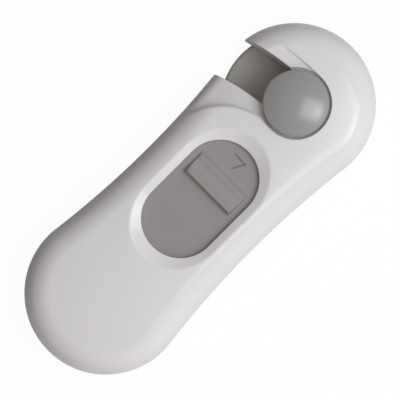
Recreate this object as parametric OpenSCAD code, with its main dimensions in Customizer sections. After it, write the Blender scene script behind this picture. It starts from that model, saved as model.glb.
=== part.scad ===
// Cabinet safety lock: a swing arm hooks over a round-headed catch post, and a thumb slide locks it.
// Millimetres. The origin is the pivot axis on the mounting plane, +Y runs to the catch, +Z leaves the door.

/* [Arm outline] */
// Width of the arm's top beside the thumb window, at the waist
rim_w = 9.2; // [8:0.1:12]
// Distance from the pivot to the catch post
reach = 72; // [70:1:90]
// How far each side draws in from the round ends to the waist
waist_in = 2.3; // [1:0.1:2.5]

/* [Shell] */
// Thickness of the arm from its underside to its crown
arm_h = 14.2; // [13.8:0.1:17]
// Height of the lower shell, up to the parting line
lower_h = 5; // [4.6:0.1:5.6]
// Wall and floor thickness
wall = 2; // [1.6:0.1:2.2]
// Height of the straight flank between the parting line and the long round shoulder
flank_h = 0.5; // [0.3:0.1:1.5]
// Radius of the crown across the arm
crown_r = 150; // [110:5:200]
// Rounding of the bottom edge
foot_r = 1.2; // [0.6:0.1:1.6]

/* [Hook] */
// Width of the arc slot that takes the neck of the catch post
slot_w = 12; // [11:0.5:14]
// Radial room round the head of the catch post
head_gap = 0.6; // [0.5:0.1:1.2]
// Depth of the head channel below the crown
channel_drop = 1; // [0.8:0.1:1.6]
// Depth of the round seat under the head below the crown
seat_drop = 2.8; // [2:0.1:3]
// How far the jaw lies below the rest of the dome
jaw_drop = 1.8; // [1.2:0.1:2.2]
// Radius of the arch over the lower jaw
jaw_arch_r = 60; // [50:5:150]
// How far the jaw's flank lies inside the arm's outline
jaw_inset = 0.25; // [0.15:0.05:0.5]

/* [Thumb window] */
// Width of the window
window_w = 21; // [18:0.5:22]
// Length of the window along the arm
window_len = 36; // [33:0.5:38]
// Depth of the bevelled rim below the crown
bevel_drop = 1.7; // [1.4:0.1:2.4]
// Slope of the bevelled rim
bevel_angle = 24; // [20:1:40]
// Thickness of the rim at the window's edge
lip_t = 1.2; // [0.8:0.1:1.5]

/* [Thumb slide] */
// Travel from open to locked
travel = 6; // [5:0.5:7]
// Thickness of the slide's plate
plate_t = 1.6; // [1.2:0.1:2]
// How far the plate reaches under the rim on each side
plate_lap = 1.7; // [1.4:0.1:2]
// Width of the thumb ridge
ridge_w = 17.2; // [12:0.2:18]
// Length of the thumb ridge along the arm
ridge_len = 7.7; // [6.5:0.1:8.5]
// Height of the ridge's crest
ridge_h = 2; // [1.5:0.1:2.4]
// Height of the lip at the shallow end of the ridge's scoop
scoop_lip = 0.8; // [0.6:0.1:1.1]
// Radius of the scoop
scoop_r = 6; // [5:0.5:14]
// Length of each stroke of the direction mark
mark_len = 4; // [3:0.5:5]

/* [Lock plate] */
// Thickness of the plate that carries the lock tooth
lock_t = 2; // [1.5:0.1:2.2]
// Width of its leg and crook
leg_w = 2.8; // [2.4:0.1:3.4]
// Width of the lock tooth
tooth_w = 4.8; // [4:0.1:5]

/* [Bases] */
// Diameter of both base discs
base_d = 40; // [36:0.5:41]
// Thickness of both base discs
base_t = 3.5; // [3:0.1:5]
// Diameter of the adhesive pads
pad_d = 37; // [32:0.5:39]
// Thickness of the adhesive pads
pad_t = 1; // [0.8:0.1:1.6]

/* [Catch post] */
// Diameter of the neck
neck_d = 10; // [9:0.2:10.6]
// Diameter of the head
head_d = 17.8; // [16:0.2:19]
// Height of the head
head_h = 4.2; // [3.8:0.1:5.5]
// Diameter of the spigot that centres the head
spigot_d = 6.4; // [5.6:0.2:7]

/* [Pivot] */
// Diameter of the hub that the arm turns on
hub_d = 12; // [10:0.5:14]
// Width of the collar round the hub's bore
collar_w = 3; // [2:0.1:3.5]
// Diameter of the retaining washer
washer_d = 17; // [16:0.5:18]
// Thickness of the retaining washer
washer_t = 1.2; // [0.8:0.1:1.4]
// Thickness of the glide ring under the arm
glide_t = 0.4; // [0.3:0.05:0.45]
// Swing of the arm from the catch to its stop, in degrees
swing = 180; // [90:5:200]
// Diameter of the stop pin on the pivot base
stop_d = 3; // [2:0.2:3.4]
// Distance of the stop pin from the pivot
stop_r = 15; // [13.5:0.5:15.5]

/* [Screws] */
// Diameter of the shell screws
shell_screw_d = 2.6; // [2.2:0.1:2.9]
// Diameter of the pivot screw and of the knob screw
base_screw_d = 3.5; // [3:0.1:4]
// Diameter of the lock plate's screws
lock_screw_d = 2; // [1.6:0.1:2.2]

/* [Clearances] */
// Gap between the base discs and the arm
run_gap = 0.5; // [0.4:0.05:0.8]
// Radial clearance of the arm's bore on the hub
hub_fit = 0.08; // [0.05:0.01:0.1]
// Gap round the thumb slide's plate
slide_gap = 0.2; // [0.15:0.05:0.3]
// Gap round the lock plate and under the head of the post
fit = 0.3; // [0.25:0.05:0.4]
// Radial room round a screw in its hole
screw_fit = 0.05; // [0.03:0.01:0.08]

/* [Hidden] */
$fn = 64;

// Outline: two end arcs joined by concave waist arcs that are tangent to both
end_steps = 34;
waist_steps = 10;
mid_y = reach / 2;
half_waist = window_w / 2 + rim_w;
end_r = half_waist + waist_in;
waist_r = (mid_y * mid_y + half_waist * half_waist - end_r * end_r) / (2 * (end_r - half_waist));
waist_x = half_waist + waist_r;
flare = atan2(mid_y, waist_x);

// Heights
base_top = pad_t + base_t;
arm_z = base_top + run_gap;
floor_z = arm_z + wall;
part_z = arm_z + lower_h;
crown_z = arm_z + arm_h;
channel_z = crown_z - channel_drop;
head_seat_z = crown_z - seat_drop;
rim_z = crown_z - bevel_drop;
pocket_z = rim_z - lip_t;
plate_top = pocket_z - slide_gap;
plate_z = plate_top - plate_t;
cavity_z = plate_z - slide_gap;
lock_z = part_z - lock_t / 2 - 0.1;
over = 1;

// Dome
shoulder_z = part_z + flank_h;
crown_flat = waist_in + 3.5;
shoulder_steps = 7;
crown_steps = 3;

// Window and thumb slide
window_y = mid_y;
window_r = window_w / 2;
window_half = (window_len - window_w) / 2;
arc_y = window_y + window_half;
plate_r = window_r + plate_lap;
pocket_r = plate_r + slide_gap + 0.1;
plate_high_y = arc_y + travel - plate_lap + 0.5;
plate_low_y = window_y - window_half - 0.5;
ridge_y = window_y + 1.7;
crest_w = ridge_w - 1.6;
ridge_lean = 1;
crest_len = 0.5;
back_run = 0.9;
mark_x = 1.8;
mark_y = ridge_y + ridge_len + 5.4;
mark_w = 0.6;
mark_h = 0.5;
mark_angles = [176, 242];

// Hook
slot_in = reach - slot_w / 2;
slot_out = reach + slot_w / 2;
neck_seat_r = slot_w / 2 + 0.15;
head_seat_r = head_d / 2 + head_gap + 0.15;
channel_w = head_d + 2 * head_gap;
mouth = asin(end_r / reach) + 6;
liner_w = wall * 0.9;
jaw_y = arc_y + 2.5;

// Catch post
head_z = channel_z + fit;
spigot_h = head_h * 0.45;
knob_screw_tip = head_z + spigot_h + 1;
csk_r = base_screw_d * 0.95;
csk_h = csk_r - base_screw_d / 2;

// Lock plate: a crook that passes the neck's seat and points back into the slot
crook_in = neck_seat_r + liner_w + 0.25;
crook_out = crook_in + leg_w;
crook_y = reach + travel + 0.8;
tooth_y = slot_out - 0.1;
tooth_root = 4;
bar_w = 8;
bar_y = window_y + 1;
lock_screw_y = bar_y + bar_w / 2;
lock_screw_x = [1.2, crook_out - 2.8];
lock_boss_r = 2.2;

// Detent: a leaf on the lower shell that clicks into two grooves under the slide
leaf_t = 0.3;
leaf_w = 4;
leaf_x = -7.5;
leaf_y = window_y - 6;
leaf_half = 8;
leaf_foot = 2.5;
leaf_rise = 1.75;
leaf_gap = 0.15;
bump_r = 0.8;
bump_z = plate_z - bump_r + 0.45;
leaf_top = plate_z - leaf_gap;
leaf_z = leaf_top - leaf_rise;
leaf_r = (leaf_rise * leaf_rise + leaf_half * leaf_half) / (2 * leaf_rise);

// Pivot
hub_r = hub_d / 2;
collar_r = hub_r + collar_w;
collar_z = floor_z + 2;
hub_z = collar_z + 0.2;
stop_rise = 0.8;
glide_d = 2 * stop_r - stop_d - 2;

// Shell screws: two pairs at the waist and two in the hook
boss_r = 2.4;
pillar_r = 2.5;
screw_head_r = shell_screw_d * 0.88;
screw_head_h = 1.6;
bore_r = screw_head_r + 0.2;
bore_h = screw_head_h + 0.3;
boss_x = half_waist - wall - boss_r + 0.2;
boss_y = 11;
hook_boss_r = end_r - 4.1;
hook_boss_angles = [148, 14];
screw_spots = concat(
    [for (y = [window_y - boss_y, window_y + boss_y]) for (x = [-boss_x, boss_x]) [x, y]],
    [for (a = hook_boss_angles) [hook_boss_r * cos(a), reach + hook_boss_r * sin(a)]]
);
screw_tip_z = cavity_z - 0.6;

// Points of an arc, leaving out skip points at each end
function arc(x, y, r, from, to, steps, skip) = [
    for (i = [skip:steps - skip])
        let (a = from + (to - from) * i / steps)
        [x + r * cos(a), y + r * sin(a)]
];

// The arm's outline, moved inwards by d
function outline(d) = concat(
    arc(0, 0, end_r - d, 180 - flare, 360 + flare, end_steps, 0),
    arc(waist_x, mid_y, waist_r + d, 180 + flare, 180 - flare, waist_steps, 1),
    arc(0, reach, end_r - d, -flare, 180 + flare, end_steps, 0),
    arc(-waist_x, mid_y, waist_r + d, flare, -flare, waist_steps, 1)
);

// Numbers of the outline's points up its right and its left side
low_mid = end_steps / 2;
right_waist = end_steps + 1;
high_end = right_waist + waist_steps - 1;
high_mid = high_end + low_mid;
left_waist = high_end + end_steps + 1;
point_count = left_waist + waist_steps - 1;
right_side = [for (i = [low_mid + 1:high_mid - 1]) i];
left_side = concat(
    [for (i = [low_mid - 1:-1:0]) i],
    [for (i = [point_count - 1:-1:left_waist]) i],
    [for (i = [high_end + end_steps:-1:high_mid + 1]) i]
);
rungs = len(right_side);

// One end face of a loft as a ladder of flat rungs
function cap(first, flip) = [
    for (face = concat(
        [[low_mid, right_side[0], left_side[0]]],
        [for (i = [0:rungs - 2]) [left_side[i], right_side[i], right_side[i + 1], left_side[i + 1]]],
        [[left_side[rungs - 1], right_side[rungs - 1], high_mid]]
    ))
        flip ? [for (i = [len(face) - 1:-1:0]) first + face[i]] : [for (i = face) first + i]
];

// A solid through the outline at each level, given as [inset, height]
module loft(levels) {
    top = len(levels) - 1;
    points = [for (level = levels) for (p = outline(level[0])) [p[0], p[1], level[1]]];
    sides = [
        for (k = [0:top - 1])
            for (i = [0:point_count - 1])
                let (j = (i + 1) % point_count, low = k * point_count, high = low + point_count)
                [low + i, high + i, high + j, low + j]
    ];
    polyhedron(points = points, faces = concat(cap(0, false), sides, cap(top * point_count, true)));
}

// A dome's levels from a height upwards: its top is lowered by drop and its flank moved inwards by inset.
// The shoulder arc rises from the flank and runs into the wide arc of the top without a kink.
function dome(from, arch_r, drop, inset) =
    let (
        centre_z = crown_z - drop - arch_r,
        rise = shoulder_z - centre_z,
        shoulder_r = (arch_r + end_r) / 2 - rise * rise / (2 * (arch_r - end_r)),
        lean = asin((end_r - shoulder_r) / (arch_r - shoulder_r)),
        edge = arch_r * sin(lean)
    )
    concat(
        [[inset, from]],
        [
            for (i = [0:shoulder_steps])
                let (a = (90 - lean) * i / shoulder_steps)
                [inset + shoulder_r * (1 - cos(a)), shoulder_z + shoulder_r * sin(a)]
        ],
        [
            for (i = [1:crown_steps])
                let (u = edge + (crown_flat - edge) * i / crown_steps)
                [inset + end_r - u, centre_z + sqrt(arch_r * arch_r - u * u)]
        ]
    );

// A bar with round ends along the arm
module stadium(r, y0, y1, z, h) {
    for (y = [y0, y1])
        translate([0, y, z]) cylinder(r = r, h = h);
    translate([-r, y0, z]) cube([2 * r, y1 - y0, h]);
}

// The path of the post through the arm: an arc about the pivot with a round seat at its end
module arc_slot(w, seat_r, z, h) {
    rotate([0, 0, 90])
        rotate_extrude(angle = mouth)
            translate([reach - w / 2, z]) square([w, h]);
    translate([0, reach, z]) cylinder(r = seat_r, h = h);
}

// A rounded disc: the outer profile of both bases
module base_disc() {
    edge = base_t / 3;
    translate([0, 0, pad_t])
        rotate_extrude() {
            square([base_d / 2 - edge, base_t]);
            square([base_d / 2, base_t - edge]);
            translate([base_d / 2 - edge, base_t - edge]) circle(r = edge);
        }
}

// A pan-head screw that points up from z, with a cross recess under its head
module pan_screw(d, head_r, head_h, length, z) {
    slot = d * 0.3;
    translate([0, 0, z])
        difference() {
            rotate_extrude()
                polygon([
                    [0, 0], [head_r * 0.75, 0], [head_r, head_h * 0.4], [head_r, head_h],
                    [d / 2, head_h], [d / 2, length - d * 0.4], [d * 0.2, length], [0, length]
                ]);
            for (a = [0, 90])
                rotate([0, 0, a])
                    translate([-head_r * 0.6, -slot / 2, -over])
                        cube([head_r * 1.2, slot, over + head_h * 0.5]);
        }
}

module pivot_pad() {
    color("dimgray") cylinder(d = pad_d, h = pad_t);
}

module pivot_base() {
    color("gray")
        difference() {
            union() {
                base_disc();
                translate([0, 0, base_top - over]) cylinder(r = hub_r, h = hub_z - base_top + over);
                translate([0, -stop_r, base_top - over])
                    cylinder(d = stop_d, h = arm_z + stop_rise - base_top + over);
            }
            translate([0, 0, base_top - base_t * 0.6])
                cylinder(r = base_screw_d / 2 + screw_fit, h = hub_z);
        }
}

module glide_ring() {
    color("lightgray")
        translate([0, 0, base_top])
            difference() {
                cylinder(d = glide_d, h = glide_t);
                translate([0, 0, -over]) cylinder(r = hub_r + fit, h = glide_t + 2 * over);
            }
}

module retaining_washer() {
    color("silver")
        translate([0, 0, hub_z])
            difference() {
                cylinder(d = washer_d, h = washer_t);
                translate([0, 0, -over])
                    cylinder(r = base_screw_d / 2 + screw_fit, h = washer_t + 2 * over);
            }
}

module pivot_screw() {
    head_h = (cavity_z - hub_z - washer_t) / 2;
    length = hub_z + washer_t + head_h - (base_top - base_t * 0.6) - 0.4;
    color("silver")
        translate([0, 0, hub_z + washer_t + head_h])
            mirror([0, 0, 1]) pan_screw(base_screw_d, base_screw_d * 0.95, head_h, length, 0);
}

module catch_pad() {
    color("dimgray") translate([0, reach, 0]) cylinder(d = pad_d, h = pad_t);
}

module catch_base() {
    hole_r = base_screw_d / 2 + screw_fit;
    color("gray")
        translate([0, reach, 0])
            difference() {
                union() {
                    base_disc();
                    translate([0, 0, base_top - over]) cylinder(d = neck_d, h = head_z - base_top + over);
                    translate([0, 0, head_z - over]) cylinder(d = spigot_d, h = spigot_h + over);
                }
                cylinder(r = hole_r, h = knob_screw_tip + over);
                translate([0, 0, pad_t - over])
                    cylinder(r1 = csk_r + screw_fit + over, r2 = hole_r, h = csk_h + over);
            }
}

module catch_knob() {
    head_r = head_d / 2;
    edge = head_h * 0.45;
    chamfer = edge * 0.4;
    rise = head_h - edge;
    ball_r = (head_r * head_r + rise * rise) / (2 * rise);
    color("darkgray")
        translate([0, reach, head_z])
            difference() {
                rotate_extrude() {
                    intersection() {
                        translate([0, head_h - ball_r]) circle(r = ball_r);
                        translate([0, edge]) square([head_r, rise]);
                    }
                    polygon([
                        [0, 0], [head_r - chamfer, 0], [head_r, chamfer], [head_r, edge], [0, edge]
                    ]);
                }
                translate([0, 0, -over]) cylinder(d = spigot_d + 2 * screw_fit, h = spigot_h + over + 0.1);
                cylinder(r = base_screw_d / 2 + screw_fit, h = knob_screw_tip - head_z + 0.3);
            }
}

module knob_screw() {
    color("silver")
        translate([0, reach, pad_t])
            difference() {
                rotate_extrude()
                    polygon([
                        [0, 0], [csk_r, 0], [base_screw_d / 2, csk_h],
                        [base_screw_d / 2, knob_screw_tip - pad_t - base_screw_d * 0.4],
                        [base_screw_d * 0.2, knob_screw_tip - pad_t], [0, knob_screw_tip - pad_t]
                    ]);
                for (a = [0, 90])
                    rotate([0, 0, a])
                        translate([-csk_r * 0.6, -0.5, -over]) cube([csk_r * 1.2, 1, over + csk_h * 0.5]);
            }
}

// Walls on both sides of the slot, which close the hollow arm there
module slot_liner(z, h) {
    arc_slot(slot_w + 2 * liner_w, neck_seat_r + liner_w, z, h);
}

// The way of the lock tooth through the slot's outer wall
module tooth_slit() {
    sweep = 2;
    translate([-crook_out - fit, slot_out - 2.5, lock_z - fit])
        cube([tooth_w + sweep + 2 * fit, liner_w + 4, lock_t + 2 * fit]);
}

// The way of the stop pin in the underside of the arm, as long as the swing
module stop_groove() {
    end_angle = asin((stop_d / 2 + fit) / stop_r);
    rotate([0, 0, -90 - end_angle])
        rotate_extrude(angle = swing + 2 * end_angle)
            translate([stop_r - stop_d / 2 - fit, arm_z - over])
                square([stop_d + 2 * fit, over + stop_rise + fit]);
}

module lower_shell() {
    foot_steps = 5;
    rib_t = 1.5;
    rib_x = plate_r - 1;
    rib_low = window_y - window_len / 2;
    rib_high = window_y + window_len / 2;
    rib_z = floor_z - 0.2;
    rib_h = cavity_z - rib_z;
    bed_y = leaf_half + leaf_foot;
    outer = concat(
        [
            for (i = [0:foot_steps])
                let (a = 90 * i / foot_steps)
                [foot_r * (1 - sin(a)), arm_z + foot_r * (1 - cos(a))]
        ],
        [[0, part_z]]
    );
    color("white") {
        difference() {
            loft(outer);
            difference() {
                loft([[wall, floor_z], [wall, part_z + over]]);
                slot_liner(floor_z - over, lower_h + over);
                translate([0, 0, floor_z - over]) cylinder(r = collar_r, h = collar_z - floor_z + over);
                for (p = screw_spots)
                    translate([p[0], p[1], floor_z - over]) cylinder(r = pillar_r, h = lower_h);
            }
            arc_slot(slot_w, neck_seat_r, arm_z - over, lower_h + 2 * over);
            tooth_slit();
            stop_groove();
            translate([0, 0, arm_z - over]) cylinder(r = hub_r + hub_fit, h = lower_h + 2 * over);
            for (p = screw_spots)
                translate([p[0], p[1], arm_z - over]) {
                    cylinder(r = shell_screw_d / 2 + 2 * screw_fit, h = lower_h + 2 * over);
                    cylinder(r = bore_r, h = bore_h + over);
                }
        }
        // Ribs that carry the thumb slide from below, and the bed of the detent leaf
        translate([-rib_x, rib_low + 2, rib_z]) cube([rib_t, rib_high - rib_low - 2, rib_h]);
        translate([rib_x - rib_t, rib_low, rib_z]) cube([rib_t, window_len / 3, rib_h]);
        translate([crook_in - 1 - rib_t, rib_high - 4, rib_z]) cube([rib_t, window_len / 5, rib_h]);
        translate([-rib_x, leaf_y - bed_y, rib_z])
            cube([rib_x + leaf_x + leaf_w / 2, 2 * bed_y, leaf_z - rib_z]);
    }
}

// The room that the thumb slide's plate moves in
module pocket() {
    z = cavity_z - over;
    stadium(pocket_r, plate_low_y - travel, plate_high_y, z, pocket_z - z);
}

// The bevelled opening over the thumb slide
module window() {
    run = (bevel_drop + over) / tan(bevel_angle);
    stadium(window_r, window_y - window_half, window_y + window_half, pocket_z - over, lip_t + 2 * over);
    for (y = [window_y - window_half, window_y + window_half])
        translate([0, y, rim_z]) cylinder(r1 = window_r, r2 = window_r + run, h = bevel_drop + over);
    translate([0, window_y + window_half, rim_z])
        rotate([90, 0, 0])
            linear_extrude(2 * window_half)
                polygon([
                    [-window_r, 0], [window_r, 0],
                    [window_r + run, bevel_drop + over], [-window_r - run, bevel_drop + over]
                ]);
}

// The side of the arm beside the slot, outside a round edge of radius r
module jaw_side(r, z) {
    difference() {
        translate([-end_r - over, jaw_y, z]) cube([end_r + over, reach - jaw_y, arm_h]);
        translate([0, arc_y, z - over]) cylinder(r = r, h = arm_h + 2 * over);
    }
}

// What is taken off the dome to leave the lower jaw
module jaw_relief() {
    difference() {
        jaw_side(half_waist, part_z - over);
        loft(dome(part_z - 2 * over, jaw_arch_r, jaw_drop, jaw_inset));
    }
}

// A tongue inside the big end that hooks the upper shell into the lower one
module end_tongue() {
    tongue_r = end_r - wall - 0.15;
    tongue_t = 1.2;
    tongue_w = 10;
    tongue_z = part_z - 2;
    tongue_h = cavity_z - tongue_z + 0.4;
    intersection() {
        translate([0, 0, tongue_z])
            difference() {
                cylinder(r = tongue_r, h = tongue_h);
                translate([0, 0, -over]) cylinder(r = tongue_r - tongue_t, h = tongue_h + 2 * over);
            }
        translate([-tongue_w / 2, -end_r, tongue_z]) cube([tongue_w, end_r, tongue_h]);
    }
}

module upper_shell() {
    color("white") {
        difference() {
            loft(dome(part_z, crown_r, 0, 0));
            difference() {
                loft([
                    [wall, part_z - over], [wall, shoulder_z - 0.8],
                    [wall + 1.4, cavity_z - 1.2], [wall + 3.2, cavity_z]
                ]);
                slot_liner(part_z - 2 * over, arm_h);
                jaw_side(half_waist - wall, cavity_z - jaw_drop);
                for (p = screw_spots)
                    translate([p[0], p[1], part_z - 2 * over]) cylinder(r = boss_r, h = arm_h);
            }
            pocket();
            window();
            jaw_relief();
            arc_slot(slot_w, neck_seat_r, part_z - over, arm_h);
            arc_slot(channel_w, head_seat_r, channel_z, arm_h);
            translate([0, reach, head_seat_z]) cylinder(r = head_seat_r, h = arm_h);
            tooth_slit();
            for (p = screw_spots)
                translate([p[0], p[1], part_z - over])
                    cylinder(r = shell_screw_d / 2 + screw_fit, h = screw_tip_z - part_z + over + 0.3);
        }
        end_tongue();
    }
}

module shell_screws() {
    seat_z = arm_z + bore_h - screw_head_h;
    color("silver")
        for (p = screw_spots)
            translate([p[0], p[1], 0])
                pan_screw(shell_screw_d, screw_head_r, screw_head_h, screw_tip_z - seat_z, seat_z);
}

module detent_spring() {
    color("silver")
        translate([leaf_x - leaf_w / 2, leaf_y, 0]) {
            intersection() {
                translate([0, 0, leaf_top - leaf_r])
                    rotate([0, 90, 0])
                        difference() {
                            cylinder(r = leaf_r, h = leaf_w);
                            translate([0, 0, -over]) cylinder(r = leaf_r - leaf_t, h = leaf_w + 2 * over);
                        }
                translate([0, -leaf_half, leaf_z]) cube([leaf_w, 2 * leaf_half, leaf_rise + over]);
            }
            translate([0, 0, bump_z]) rotate([0, 90, 0]) cylinder(r = bump_r, h = leaf_w);
            for (side = [-1, 1])
                translate([0, side * (leaf_half + leaf_foot / 2 - 0.6) - leaf_foot / 2, leaf_z])
                    cube([leaf_w, leaf_foot, leaf_t]);
        }
}

// Side view of the thumb ridge: a steep face, a crest, a scoop, and a low lip that slopes back to the plate
module ridge_profile() {
    high = [ridge_lean + crest_len, ridge_h];
    low = [ridge_len - back_run - 0.2, scoop_lip];
    middle = (high + low) / 2;
    chord = low - high;
    along = norm(chord);
    away = sqrt(scoop_r * scoop_r - along * along / 4);
    difference() {
        polygon([
            [0, -0.2], [0, 0], [ridge_lean, ridge_h], high,
            low, [ridge_len - back_run, scoop_lip], [ridge_len, 0], [ridge_len, -0.2]
        ]);
        translate(middle + away / along * [-chord[1], chord[0]]) circle(r = scoop_r);
    }
}

module thumb_slide() {
    color("darkgray") {
        difference() {
            stadium(plate_r, plate_low_y, plate_high_y, plate_z, plate_t);
            for (y = [leaf_y, leaf_y + travel])
                translate([leaf_x - leaf_w / 2 - 0.5, y, bump_z])
                    rotate([0, 90, 0]) cylinder(r = bump_r + slide_gap, h = leaf_w + 1);
            // Direction mark: two strokes that meet in a point
            translate([mark_x, mark_y, plate_top - mark_h])
                for (a = mark_angles)
                    rotate([0, 0, a])
                        translate([-mark_w / 2, -mark_w / 2, 0]) cube([mark_len, mark_w, over]);
        }
        intersection() {
            translate([-ridge_w / 2, ridge_y, plate_top])
                rotate([90, 0, 90]) linear_extrude(ridge_w) ridge_profile();
            translate([0, ridge_y + ridge_len + over, plate_top])
                rotate([90, 0, 0])
                    linear_extrude(ridge_len + 2 * over)
                        polygon([
                            [-ridge_w / 2, -0.2], [ridge_w / 2, -0.2],
                            [crest_w / 2, ridge_h + 0.1], [-crest_w / 2, ridge_h + 0.1]
                        ]);
        }
        for (x = lock_screw_x)
            translate([x, lock_screw_y, lock_z + lock_t])
                difference() {
                    cylinder(r = lock_boss_r, h = plate_z - lock_z - lock_t + 0.2);
                    translate([0, 0, -over])
                        cylinder(r = lock_screw_d / 2 + screw_fit, h = plate_z - lock_z - lock_t + 0.6);
                }
    }
}

module lock_plate() {
    color("lightsteelblue")
        translate([0, 0, lock_z])
            linear_extrude(lock_t)
                difference() {
                    union() {
                        translate([-2, bar_y]) square([2 + crook_out, bar_w]);
                        translate([crook_in, bar_y]) square([leg_w, crook_y - bar_y]);
                        difference() {
                            translate([0, crook_y]) circle(r = crook_out);
                            translate([0, crook_y]) circle(r = crook_in);
                            translate([-crook_out - over, crook_y - crook_out - over])
                                square([2 * crook_out + 2 * over, crook_out + over]);
                        }
                        translate([-crook_out, tooth_y]) square([tooth_w, tooth_root]);
                    }
                    for (x = lock_screw_x)
                        translate([x, lock_screw_y]) circle(r = lock_screw_d / 2 + screw_fit);
                }
}

module lock_screws() {
    head_h = 1.2;
    start_z = lock_z - head_h;
    color("silver")
        for (x = lock_screw_x)
            translate([x, lock_screw_y, 0])
                pan_screw(lock_screw_d, lock_screw_d * 0.85, head_h, plate_z - start_z - 0.4, start_z);
}

pivot_pad();
pivot_base();
glide_ring();
retaining_washer();
pivot_screw();
catch_pad();
catch_base();
catch_knob();
knob_screw();
lower_shell();
upper_shell();
shell_screws();
detent_spring();
thumb_slide();
lock_plate();
lock_screws();
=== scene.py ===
# %% [markdown]
# # A cabinet safety lock, dressed in Blender
# The lock is a white swing arm that hooks over a round-headed post.
# A grey thumb slide in its window locks it.
# The imported CAD model is the frame: every piece here sits where the CAD says, in metres.
# We first load the frame.

# %% Load the frame
import math

import bmesh
import bpy
from mathutils import Matrix, Vector


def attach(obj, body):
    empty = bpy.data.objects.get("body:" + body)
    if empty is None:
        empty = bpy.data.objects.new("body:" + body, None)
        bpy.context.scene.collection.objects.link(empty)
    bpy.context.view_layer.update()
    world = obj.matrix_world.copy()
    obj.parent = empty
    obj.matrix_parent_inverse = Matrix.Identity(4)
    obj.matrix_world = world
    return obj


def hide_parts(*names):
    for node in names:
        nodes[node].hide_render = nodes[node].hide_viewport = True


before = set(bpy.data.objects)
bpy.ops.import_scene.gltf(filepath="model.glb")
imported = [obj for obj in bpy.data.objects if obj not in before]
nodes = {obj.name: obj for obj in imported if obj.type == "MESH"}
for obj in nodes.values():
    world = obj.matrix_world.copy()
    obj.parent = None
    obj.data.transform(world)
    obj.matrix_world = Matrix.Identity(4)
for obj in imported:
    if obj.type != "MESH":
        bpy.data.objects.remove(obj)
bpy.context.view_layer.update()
MM = 0.001

# %% [markdown]
# ## Camera
# The photograph looks straight down, with the arm running from lower left to upper right.
# A long lens keeps the perspective weak, as in a catalogue picture.
# The camera is turned 45 degrees about the view axis,
# so that the arm's long axis lies on the diagonal.
# The scale comes from the two round ends of the arm.

# %% Camera
VIEW_CENTRE = Vector((0.19, 35.75, 14.0)) * MM
PICTURE_WIDTH = 107.4 * MM
CAMERA_DISTANCE = 0.62

camera = bpy.data.objects.new("camera", bpy.data.cameras.new("camera"))
bpy.context.scene.collection.objects.link(camera)
camera.location = VIEW_CENTRE + Vector((0, 0, CAMERA_DISTANCE))
camera.rotation_euler = (0, 0, math.radians(45))
camera.data.sensor_width = 36
camera.data.lens = camera.data.sensor_width * CAMERA_DISTANCE / PICTURE_WIDTH
camera.data.clip_start = 0.01
camera.data.clip_end = 20
bpy.context.scene.camera = camera
print("lens in mm:", round(camera.data.lens, 1))

# %% [markdown]
# ## The arm's outline and dome as functions
# The arm's outline is two round ends joined by long hollow waist arcs.
# All arcs are tangent, so the lines through their centres split the plan into four sectors.
# Inside a sector, the way straight in from the edge points at that arc's centre.
# With the distance from the edge, one curve gives the dome's height:
# a tight shoulder that runs into a flat crown.

# %% Outline and dome
END_R = 22.0
REACH = 72.0
HALF_WAIST = 19.7
MID_Y = REACH / 2
WAIST_R = (MID_Y**2 + HALF_WAIST**2 - END_R**2) / (2 * (END_R - HALF_WAIST))
WAIST_X = HALF_WAIST + WAIST_R
WAIST_TURN = math.atan2(MID_Y, WAIST_X)

PART_Z = 10.0
CROWN_Z = 19.2
CROWN_R = 150.0
SHOULDER_Z = PART_Z + 0.5


def outward(x, y):
    """Unit direction from inside the arm straight to the nearest point of its outline."""
    side = 1 if x >= 0 else -1
    slope = abs(x) * MID_Y / WAIST_X
    if y < slope:
        way = Vector((x, y))
    elif y > REACH - slope:
        way = Vector((x, y - REACH))
    else:
        way = Vector((side * WAIST_X - x, MID_Y - y))
    return way.normalized()


def dome_arcs(arch_r, drop):
    """Height of the arch's centre, radius of the shoulder arc and lean where the arcs meet."""
    centre_z = CROWN_Z - drop - arch_r
    shoulder_r = (arch_r + END_R) / 2 - (SHOULDER_Z - centre_z) ** 2 / (2 * (arch_r - END_R))
    lean = math.asin((END_R - shoulder_r) / (arch_r - shoulder_r))
    return centre_z, shoulder_r, lean


def dome_levels(shoulder_steps, crown_steps, spine, arch_r=CROWN_R, drop=0.0, tuck=0.0):
    """Insets and heights of the rings that climb from the flank over the shoulder to the crown."""
    centre_z, shoulder_r, lean = dome_arcs(arch_r, drop)
    edge = arch_r * math.sin(lean)
    rings = []
    for i in range(shoulder_steps + 1):
        a = (math.pi / 2 - lean) * i / shoulder_steps
        rings.append((tuck + shoulder_r * (1 - math.cos(a)), SHOULDER_Z + shoulder_r * math.sin(a)))
    for i in range(1, crown_steps + 1):
        u = edge + (END_R - HALF_WAIST + spine - edge) * i / crown_steps
        rings.append((tuck + END_R - u, centre_z + math.sqrt(arch_r**2 - u**2)))
    return rings


print("shoulder radius", round(dome_arcs(CROWN_R, 0)[1], 2), "mm")

# %% [markdown]
# ## Lofting a ring
# A loft needs one closed ring of vertices.
# Spinning a single vertex about each arc's centre in turn draws that ring.
# Extruding the ring's edges and moving the new vertices inwards and upwards adds the next level.

# %% Loft helpers
MERGE = 0.02


def verts_in(geom):
    """The vertices among the elements that an operator made."""
    return [g for g in geom if isinstance(g, bmesh.types.BMVert)]


def edges_in(geom):
    """The edges among the elements that an operator made."""
    return [g for g in geom if isinstance(g, bmesh.types.BMEdge)]


def turn_about(bm, tip, x, y, angle, steps):
    """Spins a vertex about an upright axis and returns the last vertex of its trail."""
    drawn = bmesh.ops.spin(
        bm, geom=[tip], cent=(x, y, tip.co.z), axis=(0, 0, 1), angle=angle, steps=steps
    )
    return verts_in(drawn["geom_last"])[0]


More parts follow.
